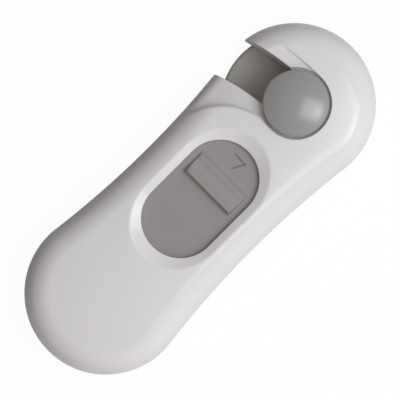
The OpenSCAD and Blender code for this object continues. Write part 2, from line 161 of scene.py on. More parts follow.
def outline_ring(bm, inset, z, end_steps, waist_steps):
    """Draws the arm's outline at height z and returns its edges."""
    arcs = [
        (0, 0, math.pi + 2 * WAIST_TURN, end_steps),
        (WAIST_X, MID_Y, -2 * WAIST_TURN, waist_steps),
        (0, REACH, math.pi + 2 * WAIST_TURN, end_steps),
        (-WAIST_X, MID_Y, -2 * WAIST_TURN, waist_steps),
    ]
    r = END_R - inset
    start = math.pi - WAIST_TURN
    tip = bm.verts.new((r * math.cos(start), r * math.sin(start), z))
    for arc in arcs:
        tip = turn_about(bm, tip, *arc)
    bmesh.ops.remove_doubles(bm, verts=bm.verts, dist=MERGE)
    return list(bm.edges)


def next_ring(bm, ring, inset, z):
    """Extrudes a ring and moves the new one inwards by inset and up to z."""
    made = bmesh.ops.extrude_edge_only(bm, edges=ring)["geom"]
    for v in verts_in(made):
        way = outward(v.co.x, v.co.y)
        v.co = (v.co.x - way.x * inset, v.co.y - way.y * inset, z)
    return edges_in(made)


def loft(levels, end_steps=72, waist_steps=40):
    """A closed solid through the arm's outline at each (inset, height)."""
    bm = bmesh.new()
    ring = outline_ring(bm, levels[0][0], levels[0][1], end_steps, waist_steps)
    bmesh.ops.contextual_create(bm, geom=ring)
    for (low, _), (high, z) in zip(levels, levels[1:]):
        ring = next_ring(bm, ring, high - low, z)
    bmesh.ops.contextual_create(bm, geom=ring)
    bmesh.ops.recalc_face_normals(bm, faces=bm.faces)
    return bm


print("waist arc radius", round(WAIST_R, 1), "mm")

# %% [markdown]
# ## Carving
# The arm's top is carved as a pattern maker would do it:
# a plain dome first, then cutters for each hollow.
# A Boolean modifier makes each cut and is applied at once, so the next cut finds a plain mesh.

# %% Carving helpers
def height_at(x, y, arch_r=CROWN_R, drop=0.0, tuck=0.0):
    """Height of a dome over a point, its top lowered by drop and its flank drawn in by tuck."""
    centre_z, shoulder_r, lean = dome_arcs(arch_r, drop)
    slope = abs(x) * MID_Y / WAIST_X
    if y < slope:
        inset = END_R - math.hypot(x, y)
    elif y > REACH - slope:
        inset = END_R - math.hypot(x, y - REACH)
    else:
        inset = math.hypot(WAIST_X - abs(x), MID_Y - y) - WAIST_R
    inset -= tuck
    u = END_R - inset
    if u > arch_r * math.sin(lean):
        return SHOULDER_Z + math.sqrt(max(0.0, shoulder_r**2 - (shoulder_r - inset) ** 2))
    return centre_z + math.sqrt(arch_r**2 - u**2)


def solid(name, bm):
    """An object from a bmesh, still in millimetres."""
    bmesh.ops.recalc_face_normals(bm, faces=bm.faces)
    mesh = bpy.data.meshes.new(name)
    bm.to_mesh(mesh)
    bm.free()
    piece = bpy.data.objects.new(name, mesh)
    bpy.context.scene.collection.objects.link(piece)
    return piece


def carve(piece, cutter, operation="DIFFERENCE"):
    """Applies a Boolean with the cutter and removes the cutter."""
    boolean = piece.modifiers.new("carve", "BOOLEAN")
    boolean.object = cutter
    boolean.operation = operation
    boolean.solver = "EXACT"
    depsgraph = bpy.context.evaluated_depsgraph_get()
    made = bpy.data.meshes.new_from_object(piece.evaluated_get(depsgraph))
    piece.modifiers.clear()
    piece.data = made
    bpy.data.objects.remove(cutter)
    return piece


print("dome over the window's middle", round(height_at(0, MID_Y), 2), "mm")

# %% [markdown]
# ## Rods and blocks
# Round holes, bosses and straight reliefs need only plain blanks.
# A cone with two equal radii is a rod, and a stretched cube is a block.

# %% Rods and blocks
def round_bar(name, place, r, length, segments):
    """A round bar, put in its place by a matrix."""
    bm = bmesh.new()
    bmesh.ops.create_cone(
        bm, cap_ends=True, segments=segments, radius1=r, radius2=r, depth=length, matrix=place
    )
    return solid(name, bm)


def rod(x, y, r, low, high, segments=48):
    """An upright round rod."""
    place = Matrix.Translation((x, y, (low + high) / 2))
    return round_bar("rod", place, r, high - low, segments)


def cross_rod(x, y, z, r, length, segments=32):
    """A round rod that lies across the arm."""
    place = Matrix.Translation((x, y, z)) @ Matrix.Rotation(math.pi / 2, 4, "Y")
    return round_bar("cross_rod", place, r, length, segments)


def block(low, high):
    """A box between two corners."""
    low, high = Vector(low), Vector(high)
    bm = bmesh.new()
    place = Matrix.Translation((low + high) / 2) @ Matrix.Diagonal((*(high - low), 1))
    bmesh.ops.create_cube(bm, size=1, matrix=place)
    return solid("block", bm)


print("blanks: rod, cross rod and block")

# %% [markdown]
# ## Cutters with a flared top
# A cutter with straight walls would leave knife edges, which no moulded part has.
# So each cutter flares at its top, in a quarter round that follows the dome's height,
# and the carved edge comes out rounded.
# The flare runs on along its last slope until it is clear of the surface.

# %% Flared cutters
LIP_STEPS = 6
LIP_END = math.radians(80)
LIP_RISE = 0.1
RING_GAP = 0.002
CLEAR_Z = CROWN_Z + 6


def lift_ring(bm, ring, way, step, height):
    """Extrudes a ring, moves it by step along way, and up to the height over each point."""
    made = bmesh.ops.extrude_edge_only(bm, edges=ring)["geom"]
    for v in verts_in(made):
        side = way(v.co.x, v.co.y) * step
        v.co.x += side.x
        v.co.y += side.y
        v.co.z = height(v.co.x, v.co.y)
    return edges_in(made)


def flare(bm, ring, way, height, floor, lip):
    """Walls up from a ring, a quarter-round flare that meets the surface, and a closed top."""
    before = 0.0
    for k in range(LIP_STEPS + 1):
        t = LIP_END * k / LIP_STEPS
        out = abs(lip) * (1 - math.cos(t))
        below = abs(lip) * (1 - math.sin(t))
        ring = lift_ring(
            bm, ring, way, math.copysign(out - before, lip),
            lambda x, y: max(height(x, y) - below, floor + RING_GAP * (k + 1)),
        )
        before = out
    run_out = (LIP_RISE + below) * math.tan(LIP_END)
    ring = lift_ring(
        bm, ring, way, math.copysign(run_out, lip),
        lambda x, y: max(height(x, y), floor) + LIP_RISE,
    )
    ring = lift_ring(bm, ring, way, 0, lambda x, y: CLEAR_Z)
    bmesh.ops.contextual_create(bm, geom=ring)


print("flares end", round(math.degrees(LIP_END)), "degrees over")

# %% [markdown]
# ## The arc slot and the head's channel
# The slot lets the post's neck in, and the wider channel above it takes the post's head.
# Both are arcs about the pivot that end in a half circle round the post.
# One vertex, spun about the pivot, the post and the pivot again, draws their plan.

# %% Slot cutter
SLOT_HALF = 6.05
CHANNEL_HALF = 9.55
CHANNEL_Z = 18.2
SEAT_R = 9.65
SEAT_Z = 16.4
MOUTH = math.asin(END_R / REACH) + math.radians(6)


def from_slot(x, y):
    """Direction out of the arc slot into the wall beside it."""
    if x >= 0:
        return Vector((x, y - REACH)).normalized()
    way = Vector((x, y))
    return way.normalized() * (1 if way.length > REACH else -1)


def slot_ring(bm, half, z, arc_steps=60, end_steps=64):
    """Plan of the arc slot: out along the far wall, round the post, and back."""
    turns = [
        (0, 0, -MOUTH, arc_steps),
        (0, REACH, -math.pi, end_steps),
        (0, 0, MOUTH, arc_steps),
    ]
    start = math.pi / 2 + MOUTH
    r = REACH + half
    tip = bm.verts.new((r * math.cos(start), r * math.sin(start), z))
    for turn in turns:
        tip = turn_about(bm, tip, *turn)
    bm.verts.ensure_lookup_table()
    bm.edges.new((tip, bm.verts[0]))
    return list(bm.edges)


def slot_cutter(half, low, lip, height):
    """The slot from low upwards, flared where it comes out of a surface of the given height."""
    bm = bmesh.new()
    ring = slot_ring(bm, half, low)
    bmesh.ops.contextual_create(bm, geom=ring)
    flare(bm, ring, from_slot, height, low, lip)
    return solid("slot_cutter", bm)


print("slot runs", round(math.degrees(MOUTH), 1), "degrees about the pivot")

# %% [markdown]
# ## The thumb window's plan
# The window is a bar with round ends along the arm.
# Two half turns of a vertex and two straight edges draw it.
# The straight edges are divided, because the surface that they rise to is curved.

# %% Window plan
WINDOW_R = 10.5
WINDOW_LOW = MID_Y - 7.5
WINDOW_HIGH = MID_Y + 7.5
SLACK = 0.01


def middle_y(y):
    """The nearest y on the window's middle line."""
    return min(max(y, WINDOW_LOW), WINDOW_HIGH)


def from_window(x, y):
    """Direction out of the thumb window's middle line."""
    return Vector((x, y - middle_y(y))).normalized()


def stadium_ring(bm, r, low, high, z, end_steps=56, side_steps=24):
    """Plan of a bar with round ends along the arm."""
    near = bm.verts.new((r, low, z))
    tip = turn_about(bm, near, 0, low, -math.pi, end_steps)
    far = bm.verts.new((-r, high, z))
    bm.edges.new((tip, far))
    tip = turn_about(bm, far, 0, high, -math.pi, end_steps)
    bm.edges.new((tip, near))
    sides = [e for e in bm.edges if e.calc_length() > high - low - SLACK]
    bmesh.ops.subdivide_edges(bm, edges=sides, cuts=side_steps - 1)
    return list(bm.edges)


print("window", 2 * WINDOW_R, "by", WINDOW_HIGH - WINDOW_LOW + 2 * WINDOW_R, "mm")

# %% [markdown]
# ## The thumb window's bevel
# A wide bevel round the window leads the thumb in.
# It meets the curved dome in a line that no short formula gives.
# So halving steps find the crossing for each point of the edge, and a small round lies over it.

# %% Window cutter
RIM_Z = 17.5
POCKET_Z = 16.3
BEVEL = math.radians(24)
RIM_STEPS = 4
BEVEL_REACH = 8.0
HALVINGS = 40
EDGE_SHARES = (0, 0.17, 0.34, 0.51, 0.68, 0.82, 0.93)
EDGE_RUN = 0.25


def window_cutter(rim_round=0.25, lip=0.4):
    """Straight walls at the rim, a rounded rim edge, the bevel, and a rounded top edge."""
    bm = bmesh.new()
    ring = stadium_ring(bm, WINDOW_R, WINDOW_LOW, WINDOW_HIGH, POCKET_Z - 1)
    bmesh.ops.contextual_create(bm, geom=ring)
    turn = math.pi / 2 - BEVEL
    before = 0.0
    base = RIM_Z - rim_round * math.tan(turn / 2)
    for k in range(RIM_STEPS + 1):
        t = turn * k / RIM_STEPS
        out = rim_round * (1 - math.cos(t))
        z = base + rim_round * math.sin(t)
        ring = lift_ring(bm, ring, from_window, out - before, lambda x, y: z)
        before = out
    start = (before, base + rim_round * math.sin(turn))

    def bevel_z(d):
        """Height of the bevel at a distance from the window's edge."""
        return start[1] + (d - start[0]) * math.tan(BEVEL)

    def crossing(x, y):
        """Where the bevel meets the dome, on the line out through a point of the edge."""
        way = from_window(x, y)
        mid = Vector((0, middle_y(y)))
        low, high = 0.0, BEVEL_REACH
        for _ in range(HALVINGS):
            d = (low + high) / 2
            p = mid + way * (WINDOW_R + d)
            if bevel_z(d) < height_at(p.x, p.y):
                low = d
            else:
                high = d
        return mid, way, low

    def edge_ring(ring, share):
        """Next ring on the curve that rounds the top edge, from bevel (0) to dome (1)."""
        made = bmesh.ops.extrude_edge_only(bm, edges=ring)["geom"]
        for v in verts_in(made):
            mid, way, d = crossing(v.co.x, v.co.y)
            low = (d - lip, bevel_z(d - lip))
            far = mid + way * (WINDOW_R + d + lip)
            top = mid + way * (WINDOW_R + d)
            corner = (d, height_at(top.x, top.y))
            high = (d + lip, height_at(far.x, far.y))
            a, b, c = (1 - share) ** 2, 2 * share * (1 - share), share**2
            out = a * low[0] + b * corner[0] + c * high[0]
            v.co.z = a * low[1] + b * corner[1] + c * high[1]
            v.co.x, v.co.y = mid + way * (WINDOW_R + out)
        return edges_in(made)

    for share in EDGE_SHARES:
        ring = edge_ring(ring, share)
    ring = lift_ring(bm, ring, from_window, EDGE_RUN, lambda x, y: height_at(x, y) + LIP_RISE)
    ring = lift_ring(bm, ring, from_window, 0, lambda x, y: CLEAR_Z)
    bmesh.ops.contextual_create(bm, geom=ring)
    return solid("window_cutter", bm)


print("bevel", round(math.degrees(BEVEL)), "degrees")

# %% [markdown]
# ## The lower jaw
# Below the slot the arm is lower and more arched, and a round shoulder stands over it.
# The cutter is what lies over the jaw: a block, less the shoulder and less the jaw itself.

# %% Jaw cutter
JAW_ARCH_R = 60.0
JAW_DROP = 1.8
JAW_TUCK = 0.25
JAW_DOME = (JAW_ARCH_R, JAW_DROP, JAW_TUCK)
JAW_Y = WINDOW_HIGH + 2.5


def from_shoulder(x, y):
    """Direction out of the round shoulder beside the jaw."""
    return Vector((x, y - WINDOW_HIGH)).normalized()


def jaw_cutter(shoulder_round=0.9):
    """A block over the jaw, less the round shoulder beside it and less the jaw itself."""
    relief = block((-END_R - 4, JAW_Y, PART_Z - 1), (0, REACH, CROWN_Z + 4))
    bm = bmesh.new()
    bmesh.ops.create_circle(
        bm, segments=180, radius=HALF_WAIST, matrix=Matrix.Translation((0, WINDOW_HIGH, PART_Z - 2))
    )
    ring = list(bm.edges)
    bmesh.ops.contextual_create(bm, geom=ring)
    flare(bm, ring, from_shoulder, height_at, PART_Z - 1.5, -shoulder_round)
    carve(relief, solid("shoulder", bm))
    rings = dome_levels(20, 20, 1.0, *JAW_DOME)
    return carve(relief, solid("jaw", loft([(JAW_TUCK, PART_Z - 2)] + rings)))


print("jaw", JAW_DROP, "mm below the crown")

# %% [markdown]
# ## The white arm's upper shell
# The real cover is one injection moulding:
# a domed skin of even thickness with walls beside the slot.
# The outside is a loft with many rings, because its long soft highlights would show any facet.
# The hollow inside gets the same walls, bosses and pocket as the CAD solid has.

# %% Shell and hollow
WALL = 2.0
LINER = 1.8
CAVITY_Z = 14.3
BOSS_R = 2.4
BOSS_X = 15.5
BOSS_Y = 11.0
HOOK_BOSS_R = END_R - 4.1
SCREW_HOLE_R = 1.35
SCREW_HOLE_Z = 14.0
HOOK_BOSS_ANGLES = (148, 14)
BOSSES = [(x, y) for y in (MID_Y - BOSS_Y, MID_Y + BOSS_Y) for x in (-BOSS_X, BOSS_X)]
for angle in HOOK_BOSS_ANGLES:
    a = math.radians(angle)
    BOSSES.append((HOOK_BOSS_R * math.cos(a), REACH + HOOK_BOSS_R * math.sin(a)))


def upright(name, bm, ring, way, high):
    """A solid with straight walls from a ring up to a height."""
    bmesh.ops.contextual_create(bm, geom=ring)
    ring = lift_ring(bm, ring, way, 0, lambda x, y: high)
    bmesh.ops.contextual_create(bm, geom=ring)
    return solid(name, bm)


def plain_slot(half, low, high):
    """The arc slot with straight walls."""
    bm = bmesh.new()
    return upright("plain_slot", bm, slot_ring(bm, half, low, 24, 32), from_slot, high)


def plain_stadium(r, y0, y1, low, high):
    """A bar with round ends and straight walls."""
    bm = bmesh.new()
    ring = stadium_ring(bm, r, y0, y1, low, 32, 2)
    return upright("plain_stadium", bm, ring, from_window, high)


seam = [(0.3, PART_Z), (0.09, PART_Z + 0.06), (0, PART_Z + 0.25)]
upper = solid("upper_shell_skin", loft(seam + dome_levels(24, 26, 1.2), 96, 56))
hollow_levels = [
    (WALL, PART_Z - 1), (WALL, SHOULDER_Z - 0.8),
    (WALL + 1.4, CAVITY_Z - 1.2), (WALL + 3.2, CAVITY_Z),
]
hollow = solid("hollow", loft(hollow_levels, 40, 20))
carve(hollow, plain_slot(SLOT_HALF + LINER, PART_Z - 2, CROWN_Z))
under_jaw = block((-END_R - 4, JAW_Y, CAVITY_Z - JAW_DROP), (0, REACH, CROWN_Z))
carve(hollow, carve(under_jaw, rod(0, WINDOW_HIGH, HALF_WAIST - WALL, PART_Z, CROWN_Z + 1, 96)))
for x, y in BOSSES:
    carve(hollow, rod(x, y, BOSS_R, PART_Z - 2, CROWN_Z))
carve(upper, hollow)
print("hollow shell:", len(upper.data.polygons), "faces")

# %% [markdown]
# ## Carving the shell
# The window, the jaw, the head's channel and seat and the neck's slot are carved in turn.
# The lock plate's crook gets its slit, the screws get their holes,
# and a tongue that fits into the lower shell is joined on.

# %% Carve the shell
POCKET_R = 12.5
POCKET_LOW = 22.0
POCKET_HIGH = 48.3
CHANNEL_LIP = 0.3
SLOT_LIP = 0.35
CROOK_SLIT = ((-11.3, 75.5, 8.6), (-3.9, 81.3, 11.2))
TONGUE_R = 19.85
TONGUE_BORE = 18.65
TONGUE_HALF = 5
TONGUE_Z = 8
TONGUE_CLEAR = 16


def slot_top(x, y):
    """Height of the surface that the neck slot is cut into."""
    on_jaw = x < 0 and math.hypot(x, y) < REACH and math.hypot(x, y - WINDOW_HIGH) > HALF_WAIST
    skin = height_at(x, y, *JAW_DOME) if on_jaw else height_at(x, y)
    return min(skin, CHANNEL_Z)


carve(upper, plain_stadium(POCKET_R, POCKET_LOW, POCKET_HIGH, CAVITY_Z - 1, POCKET_Z))
carve(upper, window_cutter())
carve(upper, jaw_cutter())
carve(upper, slot_cutter(CHANNEL_HALF, CHANNEL_Z, CHANNEL_LIP, height_at))
carve(upper, rod(0, REACH, SEAT_R, SEAT_Z, CROWN_Z + 3, 128))
carve(upper, slot_cutter(SLOT_HALF, PART_Z - 1, SLOT_LIP, slot_top))
carve(upper, block(*CROOK_SLIT))
for x, y in BOSSES:
    carve(upper, rod(x, y, SCREW_HOLE_R, PART_Z - 1, SCREW_HOLE_Z, 24))
tongue = rod(0, 0, TONGUE_R, TONGUE_Z, CAVITY_Z + 0.4, 96)
carve(tongue, rod(0, 0, TONGUE_BORE, TONGUE_Z - 1, TONGUE_CLEAR, 96))
tongue_room = block((-TONGUE_HALF, -END_R, TONGUE_Z - 1), (TONGUE_HALF, 0, TONGUE_CLEAR))
carve(tongue, tongue_room, "INTERSECT")
carve(upper, tongue, "UNION")
print("upper shell:", len(upper.data.vertices), "vertices,", len(upper.data.polygons), "faces")

# %% [markdown]
# ## Closing a carved piece
# Carving leaves a few vertices closer together than a hair.
# They are merged, the piece is scaled from millimetres to metres, and it gets smooth shading.
# Edges that still turn sharply are marked sharp, so that flat faces stay flat.

# %% Closing helper
SLIVER = 0.005


def close_piece(piece, body, stands_for, sharp=38.0):
    """Cleans a carved piece, scales it to metres and hands it to its CAD body."""
    bm = bmesh.new()
    bm.from_mesh(piece.data)
    bmesh.ops.remove_doubles(bm, verts=bm.verts, dist=MERGE)
    bmesh.ops.dissolve_degenerate(bm, edges=bm.edges, dist=SLIVER)
    bmesh.ops.triangulate(bm, faces=[f for f in bm.faces if len(f.verts) > 4])
    bmesh.ops.scale(bm, vec=(MM, MM, MM), verts=bm.verts)
    bm.normal_update()
    for face in bm.faces:
        face.smooth = True
    for edge in bm.edges:
        edge.smooth = edge.calc_face_angle(0) < math.radians(sharp)
    open_edges = sum(1 for e in bm.edges if len(e.link_faces) != 2)
    mesh = bpy.data.meshes.new(piece.name)
    bm.to_mesh(mesh)
    bm.free()
    piece.data = mesh
    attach(piece, body)
    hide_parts(stands_for)
    print(piece.name, "has", len(mesh.polygons), "faces and", open_edges, "open edges")
    return piece


close_piece(upper, "arm", "upper_shell")

# %% [markdown]
# ## The catch post's head
# The head is a turned shape, a shallow dome with a soft rim,
# so a profile spun about the post's axis makes it.
# The bore below takes the neck's spigot, as in the CAD solid.

# %% Catch knob
HEAD_Z = 18.5
HEAD_R = 8.9
HEAD_TOP = 22.7
CAP_RISE = 2.31
CAP_R = (HEAD_R**2 + CAP_RISE**2) / (2 * CAP_RISE)
CAP_Z = HEAD_TOP - CAP_R
SPIGOT_R = 3.25
SPIGOT_TOP = 20.49
SCREW_R = 1.8
SCREW_TOP = 21.69
FOOT_ROUND = 0.7
RIM_ROUND = 0.7
FOOT_STEPS = 6
HEAD_RIM_STEPS = 8
CAP_STEPS = 24


def spun(name, profile, x, y, steps=96):
    """A round piece from a half profile of (radius, height) points between two on the axis."""
    bm = bmesh.new()
    chain = [bm.verts.new((x + r, y, z)) for r, z in profile]
    edges = [bm.edges.new(pair) for pair in zip(chain, chain[1:])]
    bmesh.ops.spin(
        bm, geom=chain + edges, cent=(x, y, 0), axis=(0, 0, 1),
        angle=2 * math.pi, steps=steps, use_merge=True,
    )
    bmesh.ops.remove_doubles(bm, verts=bm.verts, dist=0.001)
    return solid(name, bm)


knob_profile = [
    (0, SCREW_TOP), (SCREW_R, SCREW_TOP), (SCREW_R, SPIGOT_TOP),
    (SPIGOT_R, SPIGOT_TOP), (SPIGOT_R, HEAD_Z),
]
for i in range(FOOT_STEPS + 1):
    a = math.pi / 2 * i / FOOT_STEPS
    r = HEAD_R - FOOT_ROUND * (1 - math.sin(a))
    knob_profile.append((r, HEAD_Z + FOOT_ROUND * (1 - math.cos(a))))
rim_z = CAP_Z + math.sqrt((CAP_R - RIM_ROUND) ** 2 - (HEAD_R - RIM_ROUND) ** 2)
cap_from = math.atan2(rim_z - CAP_Z, HEAD_R - RIM_ROUND)
for i in range(HEAD_RIM_STEPS + 1):
    a = cap_from * i / HEAD_RIM_STEPS
    r = HEAD_R - RIM_ROUND * (1 - math.cos(a))
    knob_profile.append((r, rim_z + RIM_ROUND * math.sin(a)))
for i in range(1, CAP_STEPS + 1):
    a = cap_from + (math.pi / 2 - cap_from) * i / CAP_STEPS
    knob_profile.append((CAP_R * math.cos(a), CAP_Z + CAP_R * math.sin(a)))
head = spun("catch_knob_head", knob_profile, 0, REACH)
knob = close_piece(head, "bases", "catch_knob", 50)

# %% [markdown]
# ## The thumb ridge
# The ridge has a steep face towards the pivot and a hollow scoop that runs out to a low lip.
# It is a grid raised to a height function:
# the smallest of its top and its four walls, rounded where they meet.

# %% Thumb ridge
PLATE_TOP = 16.1
RIDGE_W = 17.2
RIDGE_LEN = 7.35
RIDGE_H = 2.0
RIDGE_Y = 38.05
CREST_Y = 1.15
LIP_Y = RIDGE_LEN - 1.1
LIP_H = 0.8
SCOOP_R = 6.0
FRONT_SLOPE = 3.2
BACK_SLOPE = 0.9
END_SLOPE = 2.5
EDGE_ROUND = 0.6
ROOT = 0.4


def soft_min(a, b, k):
    """The smaller of two heights, rounded off where they are closer than k."""
    share = max(k - abs(a - b), 0) / k
    return min(a, b) - share**2 * k / 4


def ridge_height(x, y):
    """Height of the thumb ridge over the plate, with y counted from its steep face."""
    high, low = Vector((CREST_Y, RIDGE_H)), Vector((LIP_Y, LIP_H))
    chord = low - high
    away = math.sqrt(SCOOP_R**2 - chord.length_squared / 4)
    centre = (high + low) / 2 + Vector((-chord.y, chord.x)).normalized() * away
    if y < high.x:
        top = high.y
    elif y > low.x:
        top = low.y
    else:
        top = centre.y - math.sqrt(SCOOP_R**2 - (y - centre.x) ** 2)
    for wall in (y * FRONT_SLOPE, (RIDGE_LEN - y) * BACK_SLOPE, (RIDGE_W / 2 - abs(x)) * END_SLOPE):
        top = soft_min(top, wall, EDGE_ROUND)
    return top


def ridge_blank(x_steps=40, y_steps=48):
    """A grid whose lines crowd towards its edges, raised to the thumb ridge's height."""
    bm = bmesh.new()
    bmesh.ops.create_grid(bm, x_segments=x_steps, y_segments=y_steps, size=1)
    front, back = -ROOT / FRONT_SLOPE, RIDGE_LEN + ROOT / BACK_SLOPE
    half = RIDGE_W / 2 + ROOT / END_SLOPE
    for v in bm.verts:
        x = half * math.sin(v.co.x * math.pi / 2)
        y = (front + back) / 2 + (back - front) / 2 * math.sin(v.co.y * math.pi / 2)
        v.co = (x, RIDGE_Y + y, PLATE_TOP + max(ridge_height(x, y), -ROOT))
    rim = [e for e in bm.edges if e.is_boundary]
    made = bmesh.ops.extrude_edge_only(bm, edges=rim)["geom"]
    for v in verts_in(made):
        v.co.z = PLATE_TOP - 2 * ROOT
    bmesh.ops.contextual_create(bm, geom=edges_in(made))
    return solid("ridge", bm)


print("ridge", RIDGE_W, "by", RIDGE_LEN, "mm,", RIDGE_H, "mm high")

# %% [markdown]
# ## The thumb slide
# The slide is a flat plate with round ends that fills the window from below.
# Two sunk strokes make its direction mark, and the ridge is joined on top.
# Underneath it has two grooves for the spring leaf and two studs for the lock plate's screws.

# %% Thumb slide
PLATE_Z = 14.5
PLATE_R = 12.2
PLATE_LOW = 28.0
PLATE_HIGH = 48.3
MARK_AT = (1.8, 50.8)
MARK_W = 0.6
MARK_LEN = 4.0
MARK_DEPTH = 0.5
MARK_TURNS = (176, 242)
GROOVE_X = -7.5
GROOVE_YS = (30, 36)
GROOVE_R = 1.0
GROOVE_LEN = 5
GROOVE_DROP = 0.35
STUD_XS = (1.2, 8.2)
STUD_Y = 41
STUD_R = 2.2
STUD_BORE = 1.05
STUD_FOOT = 10.9


def mark_cutter(degrees):
    """One stroke of the direction mark."""
    bm = bmesh.new()
    place = (
        Matrix.Translation((*MARK_AT, PLATE_TOP))
        @ Matrix.Rotation(math.radians(degrees), 4, "Z")
        @ Matrix.Translation((MARK_LEN / 2 - MARK_W / 2, 0, 0))
        @ Matrix.Diagonal((MARK_LEN, MARK_W, 2 * MARK_DEPTH, 1))
    )
    bmesh.ops.create_cube(bm, size=1, matrix=place)
    return solid("mark", bm)


slide = plain_stadium(PLATE_R, PLATE_LOW, PLATE_HIGH, PLATE_Z, PLATE_TOP)
slide.name = "thumb_slide_plate"
for degrees in MARK_TURNS:
    carve(slide, mark_cutter(degrees))
carve(slide, ridge_blank(), "UNION")
for y in GROOVE_YS:
    carve(slide, cross_rod(GROOVE_X, y, PLATE_Z - GROOVE_DROP, GROOVE_R, GROOVE_LEN))
for x in STUD_XS:
    carve(slide, rod(x, STUD_Y, STUD_R, STUD_FOOT, PLATE_Z + 0.2, 32), "UNION")
    carve(slide, rod(x, STUD_Y, STUD_BORE, 10, PLATE_Z - 0.4, 24))
close_piece(slide, "slide", "thumb_slide", 32)

# %% [markdown]
# ## Finishes
# Moulded plastic isn't one flat colour.
# Its skin has a fine spark-eroded grain, a slow drift in tone,
# and faint rub marks where fingers and doors touch it.
# Two node groups give these as values, and each material mixes them in its own strength.
# They read Object coordinates, so the patterns stay on the piece when the arm swings.

# %% Node helpers
def new_group(name, inputs, outputs):
    """An empty shader group with float inputs and outputs."""
    group = bpy.data.node_groups.new(name, "ShaderNodeTree")
    for label, value in inputs:
        socket = group.interface.new_socket(
            label, in_out="INPUT", socket_type="NodeSocketFloat"
        )
        socket.default_value = value
    for label in outputs:
        group.interface.new_socket(label, in_out="OUTPUT", socket_type="NodeSocketFloat")
    return group, group.nodes.new("NodeGroupInput"), group.nodes.new("NodeGroupOutput")


def object_coords(tree):
    """The piece's own coordinates, in metres."""
    return tree.nodes.new("ShaderNodeTexCoord").outputs["Object"]


def noise(tree, vector, scale, detail):
    """A noise texture on the given coordinates. Scale may be a number or a socket."""
    node = tree.nodes.new("ShaderNodeTexNoise")
    node.inputs["Detail"].default_value = detail
    tree.links.new(vector, node.inputs["Vector"])
    if isinstance(scale, (int, float)):
        node.inputs["Scale"].default_value = scale
    else:
        tree.links.new(scale, node.inputs["Scale"])
    return node.outputs["Fac"]


def spread(tree, value, low, high, to_low=0.0, to_high=1.0):
    """Maps a value from one range to another, clamped."""
    node = tree.nodes.new("ShaderNodeMapRange")
    node.inputs["From Min"].default_value = low
    node.inputs["From Max"].default_value = high
    node.inputs["To Min"].default_value = to_low
    node.inputs["To Max"].default_value = to_high
    tree.links.new(value, node.inputs["Value"])
    return node.outputs["Result"]


def combine(tree, operation, first, second):
    """A Math node on two sockets."""
    node = tree.nodes.new("ShaderNodeMath")
    node.operation = operation
    tree.links.new(first, node.inputs[0])
    tree.links.new(second, node.inputs[1])
    return node.outputs["Value"]


print("node helpers defined")

# %% [markdown]
# ## The moulded skin and its rub marks
# The skin group gives a fine grain and a slow drift.
# The rub group multiplies thin streaks by wide patches, so that the marks come in places.

# %% Node groups
skin, skin_in, skin_out = new_group(
    "moulded_skin", [("Grain Scale", 3500.0), ("Drift Scale", 60.0)], ["Grain", "Drift"]
)
place = object_coords(skin)
grain = noise(skin, place, skin_in.outputs["Grain Scale"], 2)
drift = noise(skin, place, skin_in.outputs["Drift Scale"], 4)
skin.links.new(grain, skin_out.inputs["Grain"])
skin.links.new(spread(skin, drift, 0.3, 0.7), skin_out.inputs["Drift"])

rubs, rubs_in, rubs_out = new_group("rub_marks", [("Rub Scale", 240.0)], ["Rub"])
place = object_coords(rubs)
stretch = rubs.nodes.new("ShaderNodeMapping")
stretch.inputs["Rotation"].default_value = (0.2, 0.1, 0.7)
stretch.inputs["Scale"].default_value = (1.0, 9.0, 3.0)
rubs.links.new(place, stretch.inputs["Vector"])
streaks = noise(rubs, stretch.outputs["Vector"], rubs_in.outputs["Rub Scale"], 3)
patches = spread(rubs, noise(rubs, place, 45.0, 2), 0.5, 0.72)
both = combine(rubs, "MULTIPLY", spread(rubs, streaks, 0.52, 0.72), patches)
rubs.links.new(both, rubs_out.inputs["Rub"])
print("groups:", [g.name for g in bpy.data.node_groups])

# %% [markdown]
# ## Material helpers
# Every material here starts as a Principled BSDF.
# The helpers place a group beside it, mix two colours by a mask, and turn a height into relief.

# %% Material helpers
def new_material(name):
    """A material with nodes, its tree and its shader."""
    material = bpy.data.materials.new(name)
    material.use_nodes = True
    tree = material.node_tree
    return material, tree, tree.nodes["Principled BSDF"]


def place_group(tree, group, **values):
    """Places a node group in a material, with values for the inputs that are named."""
    node = tree.nodes.new("ShaderNodeGroup")
    node.node_tree = group
    for label, value in values.items():
        node.inputs[label.replace("_", " ")].default_value = value
    return node


def mix_colour(tree, share, first, second):
    """Mixes two colours, each a tuple or a socket, by a socket."""
    node = tree.nodes.new("ShaderNodeMix")
    node.data_type = "RGBA"
    tree.links.new(share, node.inputs["Factor"])
    for socket, value in ((node.inputs[6], first), (node.inputs[7], second)):
        if isinstance(value, tuple):
            socket.default_value = (*value, 1)
        else:
            tree.links.new(value, socket)
    return node.outputs[2]


def raise_grain(tree, shader, height, depth):
    """Feeds a height through a Bump node into the shader's normal. Depth is in metres."""
    relief = tree.nodes.new("ShaderNodeBump")
    relief.inputs["Distance"].default_value = depth
    tree.links.new(height, relief.inputs["Height"])
    tree.links.new(relief.outputs["Normal"], shader.inputs["Normal"])


print("material helpers defined")

# %% [markdown]
# ## Plastics
# One function builds every plastic here, because they differ only in colour, gloss and grain.
# The slow drift moves the colour a little, the rub marks lighten and dull it,
# and the grain feeds a Bump node.
# How much of the light each plastic mirrors is typed straight into the shader's socket.

# %% Plastic materials
RUB_TINT = 0.35
RUB_DULL = 0.12


